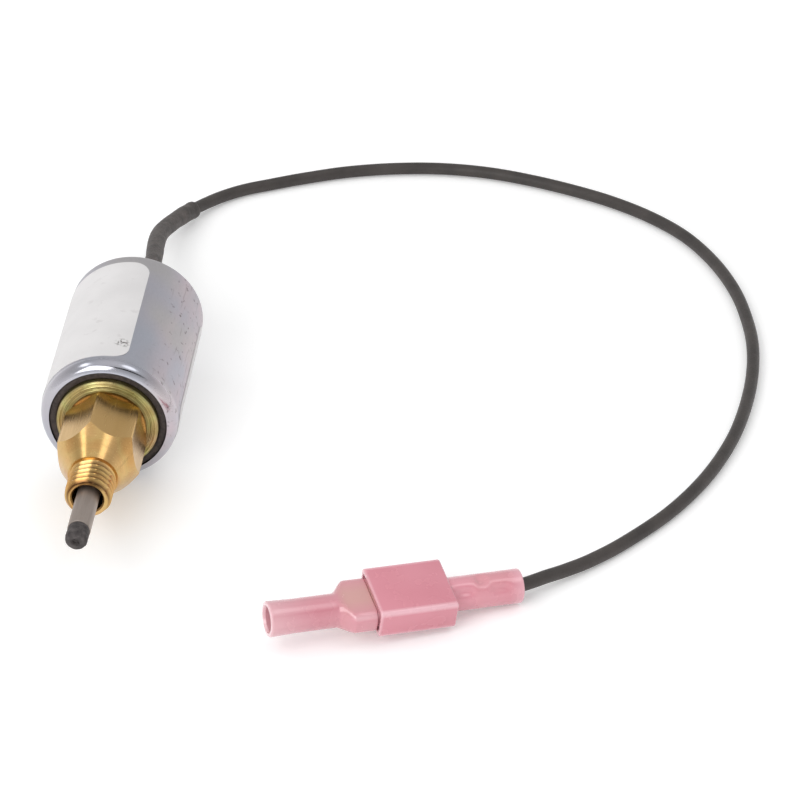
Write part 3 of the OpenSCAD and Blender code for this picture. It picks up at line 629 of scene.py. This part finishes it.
over(paper, ranged(paper, clouds(paper, 2.2, 3), 0.64, 0.74, 0, 0.22), ink(176, 170, 170))
nodes, links = paper.node_tree.nodes, paper.node_tree.links
SCUFF_TURN, SCUFF_BACK = LABEL_END - math.radians(7), 7.2
scuff_off = nodes.new("ShaderNodeVectorMath")
scuff_off.operation = "DISTANCE"
scuff_off.inputs[1].default_value = (CAN_R * MM * math.sin(SCUFF_TURN), RIM_Y + SCUFF_BACK * MM,
                                     AXIS_Z + CAN_R * MM * math.cos(SCUFF_TURN))
links.new(nodes["Texture Coordinate"].outputs["Object"], scuff_off.inputs[0])
over(paper, times(paper, ranged(paper, scuff_off.outputs["Value"], 1.5 * MM, 0.5 * MM),
                  ranged(paper, clouds(paper, 0.45, 2), 0.5, 0.56)), ink(96, 90, 88))
piece(label_shape, "paper_label", paper, "solenoid", "label", 40)

# The grommet: a black rubber bush snapped into the can's closed end, with a rounded flange
# outside. It keeps the lead and its sleeve off the steel edge.
BUSH_R, BUSH_IN = 3.8, 1.73
bush_shape = turned([(BUSH_IN, 33.98), (BUSH_R, 33.98), (BUSH_R, 34.79), (2.96, 34.79),
                     (2.96, 36.01)] + arc(BUSH_R - 0.45, 36.55, 0.45, -90, 90, 8)
                    + [(BUSH_IN + 0.25, 37), (BUSH_IN, 36.8)], SMALL_STEPS)
grommet_rubber = finish("grommet_rubber", ink(38, 36, 35), ink(52, 49, 48), 1.2, (0.5, 0.7),
                        0.25, 0.02)
piece(bush_shape, "rubber_bush", grommet_rubber, "solenoid", "grommet")

# The splice: a tinned crimp that joins the lead's strands to the winding's tail. It lies
# inside the can, in front of the grommet.
dress("lead_splice", finish("splice_tin", ink(170, 167, 160), ink(196, 193, 186), 0.8,
                            (0.25, 0.4), 0.25, 0.01, 0.9))

# The sleeve: heat-shrunk tubing over the lead's first stretch, where it bends most. It has
# shrunk a little unevenly, and its far end stands off the lead as a small lip.
SLEEVE_LAST = 9
SLEEVE_R, SLEEVE_WALL = 1.7 * MM, 0.42 * MM
SLEEVE_LIP = (0.97, 1.0, 0.98, 0.96)
sleeve_points = smooth_route(1, SLEEVE_LAST, ROUTE_STEPS)
shares = []
for k, place in enumerate(sleeve_points):
    left = len(sleeve_points) - 1 - k
    share = 0.955 + 0.045 * noise.noise(place * 260)
    if left < len(SLEEVE_LIP):
        share = SLEEVE_LIP[left]
    shares.append(share)
sleeve_curve = curve_along("sleeve_path", sleeve_points, SLEEVE_R, shares)
sleeve_path = bpy.data.objects.new("sleeve_path", sleeve_curve)
sleeve_shape = bmesh.new()
sleeve_mesh = bpy.data.meshes.new_from_object(sleeve_path)
sleeve_shape.from_mesh(sleeve_mesh)
bpy.data.objects.remove(sleeve_path)
bmesh.ops.remove_doubles(sleeve_shape, verts=sleeve_shape.verts, dist=0.001 * MM)
bmesh.ops.recalc_face_normals(sleeve_shape, faces=sleeve_shape.faces)
sleeve_rubber = finish("shrink_sleeve", ink(56, 51, 49), ink(84, 77, 74), 2.2, (0.5, 0.7),
                       0.5, 0.05)
sleeve = piece(sleeve_shape, "shrunk_sleeve", sleeve_rubber, "solenoid", "lead_sleeve")
wall = sleeve.modifiers.new("wall", "SOLIDIFY")
wall.thickness = SLEEVE_WALL
wall.offset = -1

# The male half of the connector: a housing in milky pink nylon, a round barrel for the crimp
# and a flat box shroud for the tab. The crimping tool has left shallow dents in the barrel.
PLUG_AT = Vector((73.2, -28.8, 2.7))
PLUG_LEAN = Euler([math.radians(a) for a in (8.8, 4.2, 23.1)])
plug_place = (Matrix.Scale(MM, 4) @ Matrix.Translation(PLUG_AT)
              @ PLUG_LEAN.to_matrix().to_4x4() @ Matrix.Rotation(math.radians(-90), 4, "Y"))
BARREL_D, BARREL_BORE, BARREL_LIFT = 5.8, 4.2, 0.2
DROP = 0.8
BOX_H, BOX_W, BOX_CORNER = 5.4, 11.3, 0.75
BOX_IN_H, BOX_IN_W = 4.0, 9.9
MALE_START, BARREL_LEN, BOX_END, BOX_MOUTH = 0.69, 13.3, 14.3, 26.6
BARREL_EDGE, BOX_EDGE, MOUTH_EDGE = 0.25, 0.45, 0.2
DENT_ROWS = 36


def ring(shape, along, high, wide, corner, lift=0.0, each=14):
    """A closed outline across the connector's axis: a rectangle with round corners, or a
    circle where the corners take up all of it."""
    outline = []
    for quarter, (up, side) in enumerate(((1, 1), (-1, 1), (-1, -1), (1, -1))):
        for k in range(each):
            turn = math.radians(90 * (quarter + (k + 0.5) / each))
            outline.append(shape.verts.new((
                lift + up * (high / 2 - corner) + corner * math.cos(turn),
                side * (wide / 2 - corner) + corner * math.sin(turn), along)))
    return [shape.edges.new((outline[k - 1], outline[k])) for k in range(len(outline))]


def skin(shape, rings):
    """Bridges the outlines in turn, and the last one back to the first."""
    for one, other in zip(rings, rings[1:] + rings[:1]):
        bmesh.ops.bridge_loops(shape, edges=one + other)
    bmesh.ops.recalc_face_normals(shape, faces=shape.faces)


def circle(shape, along, size, lift=0.0):
    return ring(shape, along, size, size, size / 2, lift)


def rounded(shape, along, inward, size, high, wide, corner, lift, steps=4):
    """The outlines of a box end's rounded edge, from the end face out to the full section.
    Inward is 1 where the box goes on to higher places and -1 where it comes from lower."""
    rings = []
    for k in range(steps + 1):
        turn = math.radians(90 * k / steps)
        less = 2 * size * (1 - math.sin(turn))
        rings.append(ring(shape, along + inward * size * (1 - math.cos(turn)), high - less,
                          wide - less, max(corner - less / 2, 0.1), lift))
    return rings


male_shape = bmesh.new()
male_rings = rounded(male_shape, MALE_START, 1, BARREL_EDGE, BARREL_D, BARREL_D, BARREL_D / 2,
                     BARREL_LIFT)
row = (BARREL_LEN - MALE_START - BARREL_EDGE) / DENT_ROWS
male_rings += [circle(male_shape, MALE_START + BARREL_EDGE + row * k, BARREL_D, BARREL_LIFT)
               for k in range(1, DENT_ROWS + 1)]
male_rings += rounded(male_shape, BARREL_LEN + 0.02, 1, BOX_EDGE, BOX_H, BOX_W, BOX_CORNER, DROP)
male_rings += reversed(rounded(male_shape, BOX_MOUTH, -1, MOUTH_EDGE, BOX_H, BOX_W, BOX_CORNER,
                               DROP))
male_rings += [ring(male_shape, BOX_MOUTH, BOX_IN_H + 0.14, BOX_IN_W + 0.14, 0.44, DROP),
               ring(male_shape, BOX_MOUTH - 0.1, BOX_IN_H, BOX_IN_W, 0.4, DROP),
               ring(male_shape, BOX_END, BOX_IN_H, BOX_IN_W, 0.4, DROP),
               ring(male_shape, BOX_END, 3.3, BARREL_BORE, 1.6, 0.45),
               circle(male_shape, BARREL_LEN, BARREL_BORE),
               circle(male_shape, MALE_START + 0.3, BARREL_BORE),
               circle(male_shape, MALE_START, BARREL_BORE + 0.5)]
skin(male_shape, male_rings)
# Each dent has its place along the barrel, its turn, its depth, half its length and its width.
DENTS = ((11.0, -43, 0.5, 1.6, 17), (7.9, -5, 0.45, 0.9, 20), (4.8, -45, 0.4, 1.6, 16),
         (6.2, 140, 0.3, 1.2, 22))
for corner in male_shape.verts:
    around = Vector((corner.co.x - BARREL_LIFT, corner.co.y, 0))
    if corner.co.z < BARREL_LEN - 0.3 and around.length > BARREL_D / 2 - 0.05:
        dent = 0
        for along, turn, deep, length, wide in DENTS:
            off = math.degrees(around.angle(Vector((math.cos(math.radians(turn)),
                                                    math.sin(math.radians(turn)), 0))))
            dent += deep * math.exp(-((corner.co.z - along) / length) ** 4 - (off / wide) ** 2)
        corner.co -= around.normalized() * dent


def seat_on_plug(shape):
    """Keeps each point's place on the connector as an attribute, then lays the piece down."""
    kept = shape.verts.layers.float_vector.new("on_plug")
    for corner in shape.verts:
        corner[kept] = corner.co
    bmesh.ops.transform(shape, matrix=plug_place, verts=shape.verts)


def nylon(name, tones, inside, box, rims):
    """Moulded nylon that lets some light in, drawn opaque. What lies inside tints it through
    its wall as a colour laid on, and its rounded edges and rims get a painted highlight, a
    paler colour laid on. Inside is a colour, its reach from and to along the connector, half
    its width and its share; a rim goes from full colour to a share of the painted highlight."""
    dark, light, pale_highlight = tones
    through, from_along, to_along, half_wide, share = inside
    made = finish(name, dark, light, 12, (0.22, 0.3), 3, 0.002)
    nodes, links = made.node_tree.nodes, made.node_tree.links
    shader = nodes["Principled BSDF"]
    nodes["patches"].inputs["Detail"].default_value = 1
    shader.inputs["Coat Weight"].default_value = 1
    shader.inputs["Coat Roughness"].default_value = 0.12
    place = nodes.new("ShaderNodeAttribute")
    place.attribute_name = "on_plug"
    parts = nodes.new("ShaderNodeSeparateXYZ")
    links.new(place.outputs["Vector"], parts.inputs["Vector"])
    high, wide, lift = box
    across = nodes.new("ShaderNodeMath")
    across.operation = "ABSOLUTE"
    links.new(parts.outputs["Y"], across.inputs[0])
    upward = nodes.new("ShaderNodeMath")
    upward.operation = "SUBTRACT"
    upward.inputs[1].default_value = lift
    links.new(parts.outputs["X"], upward.inputs[0])
    from_middle = nodes.new("ShaderNodeMath")
    from_middle.operation = "ABSOLUTE"
    links.new(upward.outputs["Value"], from_middle.inputs[0])
    along_share = times(made, ranged(made, parts.outputs["Z"], from_along - 1.2, from_along + 0.4),
                        ranged(made, parts.outputs["Z"], to_along + 1.2, to_along - 0.4))
    across_share = ranged(made, across.outputs["Value"], half_wide + 2, half_wide - 1.2, 0, share)
    shown = times(made, along_share, across_share)
    over(made, shown, through)
    # Painted highlight: the box's rounded long edges are made paler.
    edge = times(made, ranged(made, from_middle.outputs["Value"], high / 2 - 1, high / 2 - 0.3),
                 ranged(made, across.outputs["Value"], wide / 2 - 1, wide / 2 - 0.3, 0, 0.8))
    over(made, edge, pale_highlight)
    # Painted highlight: each rim grows paler towards its end.
    for full, thin, most in rims:
        over(made, ranged(made, parts.outputs["Z"], full, thin, 0, most), pale_highlight)
    return made


seat_on_plug(male_shape)
# Its palest tone is the painted highlight on the box's edges, the barrel's end and the shroud's
# mouth.
male_nylon = nylon("male_nylon", (ink(209, 124, 139), ink(219, 139, 153), ink(240, 194, 203)),
                   (ink(200, 128, 126), 3, 9, 1.8, 0.3), (BOX_H, BOX_W, DROP),
                   ((BARREL_LEN + 0.5, BARREL_LEN - 0.5, 0.15), (MALE_START + 2.4, MALE_START, 0.5),
                    (BOX_MOUTH - 0.5, BOX_MOUTH, 0.6)))
male_shell = piece(male_shape, "male_shell", male_nylon, "solenoid", "male_housing",
                   30)

# The male terminal: a tinned brass tab that lies in the box shroud. The crimp behind it grips
# the lead's strands.
dress("male_terminal", finish("male_tin", ink(184, 172, 146), ink(208, 196, 170), 0.8,
                              (0.25, 0.4), 0.3, 0.01, 0.9))

# The male support: a copper sleeve round that crimp, inside the barrel. It keeps the crimp
# from splitting.
dress("male_support", finish("male_copper", ink(176, 104, 62), ink(198, 124, 80), 0.8,
                             (0.25, 0.4), 0.3, 0.01, 0.9))

# The female half: a housing in clearer, paler pink nylon. Its flat body slides into the shroud
# of the male half, then flares into a round barrel that is open for the harness wire. The tan
# terminal shows through the flat body.
FLAT_H, FLAT_W, FLAT_CORNER, FLAT_WALL = 3.7, 9.2, 1.2, 0.5
BODY_H, BODY_W, BODY_CORNER, BODY_DROP = 4.3, 9.9, 1.6, 0.5
FEMALE_D, FEMALE_LIFT, BELL = 5.7, 0.1, 0.25
FLAT_FRONT, BODY_FRONT, FLAT_END, FLARE_END, FEMALE_END = 17.2, 26.75, 30.4, 32.8, 44.2
FLARE_STEPS = 10
FEMALE_ROW, BELL_FROM, BELL_ROWS = 0.8, 9, 4


def flare(shape, high, wide, corner, round_d, lift_from, lift_to):
    """The outlines from a section of the body to the round barrel's."""
    rings = []
    for k in range(FLARE_STEPS + 1):
        share = (1 - math.cos(math.pi * k / FLARE_STEPS)) / 2 * 0.5 + k / FLARE_STEPS * 0.5
        rings.append(ring(shape, FLAT_END + (FLARE_END - FLAT_END) * k / FLARE_STEPS,
                          high + (round_d - high) * share, wide + (round_d - wide) * share,
                          corner + (round_d / 2 - corner) * share,
                          lift_from + (lift_to - lift_from) * share))
    return rings


female_shape = bmesh.new()
female_rings = [ring(female_shape, FLAT_FRONT, FLAT_H - 0.3, FLAT_W - 0.3, FLAT_CORNER - 0.15,
                     DROP),
                ring(female_shape, FLAT_FRONT + 0.15, FLAT_H, FLAT_W, FLAT_CORNER, DROP),
                ring(female_shape, BODY_FRONT, FLAT_H, FLAT_W, FLAT_CORNER, DROP)]
female_rings += rounded(female_shape, BODY_FRONT, 1, BARREL_EDGE, BODY_H, BODY_W, BODY_CORNER,
                        BODY_DROP)
female_rings += flare(female_shape, BODY_H, BODY_W, BODY_CORNER, FEMALE_D, BODY_DROP, FEMALE_LIFT)
female_rings += [circle(female_shape, FLARE_END + FEMALE_ROW * k,
                        FEMALE_D + BELL * max(0, k - BELL_FROM) / BELL_ROWS, FEMALE_LIFT)
                 for k in range(1, BELL_FROM + BELL_ROWS + 1)]
female_rings += reversed(rounded(female_shape, FEMALE_END, -1, BARREL_EDGE, FEMALE_D + BELL,
                                 FEMALE_D + BELL, (FEMALE_D + BELL) / 2, FEMALE_LIFT))
female_rings += [circle(female_shape, FEMALE_END, BARREL_BORE + 0.5, FEMALE_LIFT),
                 circle(female_shape, FEMALE_END - 0.4, BARREL_BORE, FEMALE_LIFT)]
female_rings += reversed(flare(female_shape, FLAT_H - 2 * FLAT_WALL, FLAT_W - 2 * FLAT_WALL,
                               FLAT_CORNER - FLAT_WALL, BARREL_BORE, DROP, 0))
female_rings += [ring(female_shape, FLAT_FRONT, FLAT_H - 2 * FLAT_WALL, FLAT_W - 2 * FLAT_WALL,
                      FLAT_CORNER - FLAT_WALL, DROP)]
skin(female_shape, female_rings)
seat_on_plug(female_shape)
# Its palest tone is the painted highlight towards the open end of the barrel.
female_nylon = nylon("female_nylon",
                     (ink(206, 133, 145), ink(216, 148, 158), ink(238, 198, 204)),
                     (ink(208, 164, 150), 24, 31.5, 2.2, 0.6), (BODY_H, BODY_W, BODY_DROP),
                     ((FEMALE_END - 8, FEMALE_END - 1, 0.4),
                      (FEMALE_END - 0.5, FEMALE_END, 0.6)))
female_shell = piece(female_shape, "female_shell", female_nylon, "female_half",
                     "female_housing", 30)

# The female terminal: a tinned brass receptacle whose rolled sides grip the tab. The end of its
# crimp shows inside the open barrel.
dress("female_terminal", finish("female_tin", ink(186, 158, 112), ink(212, 184, 136), 0.8,
                                (0.25, 0.4), 0.3, 0.01, 0.9))

# The female support: a copper sleeve round that crimp, inside the barrel. It keeps the crimp
# from splitting.
dress("female_support", finish("female_copper", ink(176, 104, 62), ink(198, 124, 80), 0.8,
                               (0.25, 0.4), 0.3, 0.01, 0.9))

# The studio: a plain pale floor, a soft sky that is brighter overhead, and a soft lamp. As in a
# studio, two bright cards overhead and a dark one above the camera give bright metal its lines.
FLOOR_HALF, FLOOR_GLOW = 1.5, 0.2
floor_shape = bmesh.new()
bmesh.ops.create_grid(floor_shape, x_segments=1, y_segments=1, size=FLOOR_HALF)
bmesh.ops.translate(floor_shape, verts=floor_shape.verts, vec=(0, 0, -0.05 * MM))
floor_mesh = bpy.data.meshes.new("floor")
floor_shape.to_mesh(floor_mesh)
floor_shape.free()
floor = bpy.data.objects.new("floor", floor_mesh)
bpy.context.scene.collection.objects.link(floor)
floor_white = bpy.data.materials.new("floor_white")
floor_white.use_nodes = True
nodes, links = floor_white.node_tree.nodes, floor_white.node_tree.links
nodes["Principled BSDF"].inputs["Base Color"].default_value = (0.93, 0.93, 0.93, 1)
nodes["Principled BSDF"].inputs["Roughness"].default_value = 1
nodes["Principled BSDF"].inputs["Emission Color"].default_value = (1, 1, 1, 1)
ray = nodes.new("ShaderNodeLightPath")
seen = ray.outputs["Is Camera Ray"]
for kind in ("Is Glossy Ray", "Is Transmission Ray"):
    either = nodes.new("ShaderNodeMath")
    either.operation = "MAXIMUM"
    links.new(seen, either.inputs[0])
    links.new(ray.outputs[kind], either.inputs[1])
    seen = either.outputs["Value"]
links.new(ranged(floor_white, seen, 0, 1, 0, FLOOR_GLOW),
          nodes["Principled BSDF"].inputs["Emission Strength"])
floor_mesh.materials.append(floor_white)

sky = bpy.data.worlds.new("sky")
bpy.context.scene.world = sky
sky.use_nodes = True
nodes, links = sky.node_tree.nodes, sky.node_tree.links
view = nodes.new("ShaderNodeTexCoord")
parts = nodes.new("ShaderNodeSeparateXYZ")
links.new(view.outputs["Generated"], parts.inputs["Vector"])
height = nodes.new("ShaderNodeValToRGB")
height.color_ramp.elements[0].color = (0.95, 0.95, 0.95, 1)
height.color_ramp.elements[1].color = (0.8, 0.8, 0.8, 1)
for place, tone in ((0.3, 0.72), (0.55, 0.55)):
    height.color_ramp.elements.new(place).color = (tone, tone, tone, 1)
links.new(parts.outputs["Z"], height.inputs["Fac"])


def card(at, long, short, colour):
    """A card in the sky, centred at a direction. It is long across the view, in radians."""
    centre = Vector(at).normalized()
    over_axis = centre.cross(Vector((1, 0, 0))).normalized()
    offs = nodes.new("ShaderNodeCombineXYZ")
    for k, axis in enumerate((over_axis.cross(centre) / long, over_axis / short)):
        off = nodes.new("ShaderNodeVectorMath")
        off.operation = "DOT_PRODUCT"
        off.inputs[1].default_value = axis
        links.new(view.outputs["Generated"], off.inputs[0])
        links.new(off.outputs["Value"], offs.inputs[k])
    apart = nodes.new("ShaderNodeVectorMath")
    apart.operation = "LENGTH"
    links.new(offs.outputs["Vector"], apart.inputs[0])
    layer = nodes.new("ShaderNodeMix")
    layer.data_type = "RGBA"
    layer.inputs["B"].default_value = colour
    links.new(nodes["Background"].inputs["Color"].links[0].from_socket, layer.inputs["A"])
    links.new(ranged(sky, apart.outputs["Value"], 1, 0.75), layer.inputs["Factor"])
    links.new(layer.outputs["Result"], nodes["Background"].inputs["Color"])


links.new(height.outputs["Color"], nodes["Background"].inputs["Color"])
card((0.25, -0.6, 0.75), 0.55, 0.14, (0.03, 0.028, 0.025, 1))
card((-0.6, 0.04, 0.8), 0.13, 0.3, (2.3, 2.3, 2.3, 1))
card((0.4, -0.05, 0.91), 0.2, 0.3, (1.9, 1.9, 1.9, 1))
nodes["Background"].inputs["Strength"].default_value = 1.1


def lamp(name, at, aim, size, power):
    """A square soft lamp at a place, turned towards another."""
    data = bpy.data.lights.new(name, "AREA")
    data.size = size
    data.energy = power
    made = bpy.data.objects.new(name, data)
    made.location = at
    made.rotation_euler = (Vector(aim) - Vector(at)).to_track_quat("-Z", "Y").to_euler()
    bpy.context.scene.collection.objects.link(made)


lamp("key", (-0.22, -0.48, 0.42), (0.03, 0.02, 0), 0.4, 1.6)

bpy.context.scene.view_settings.view_transform = "Standard"
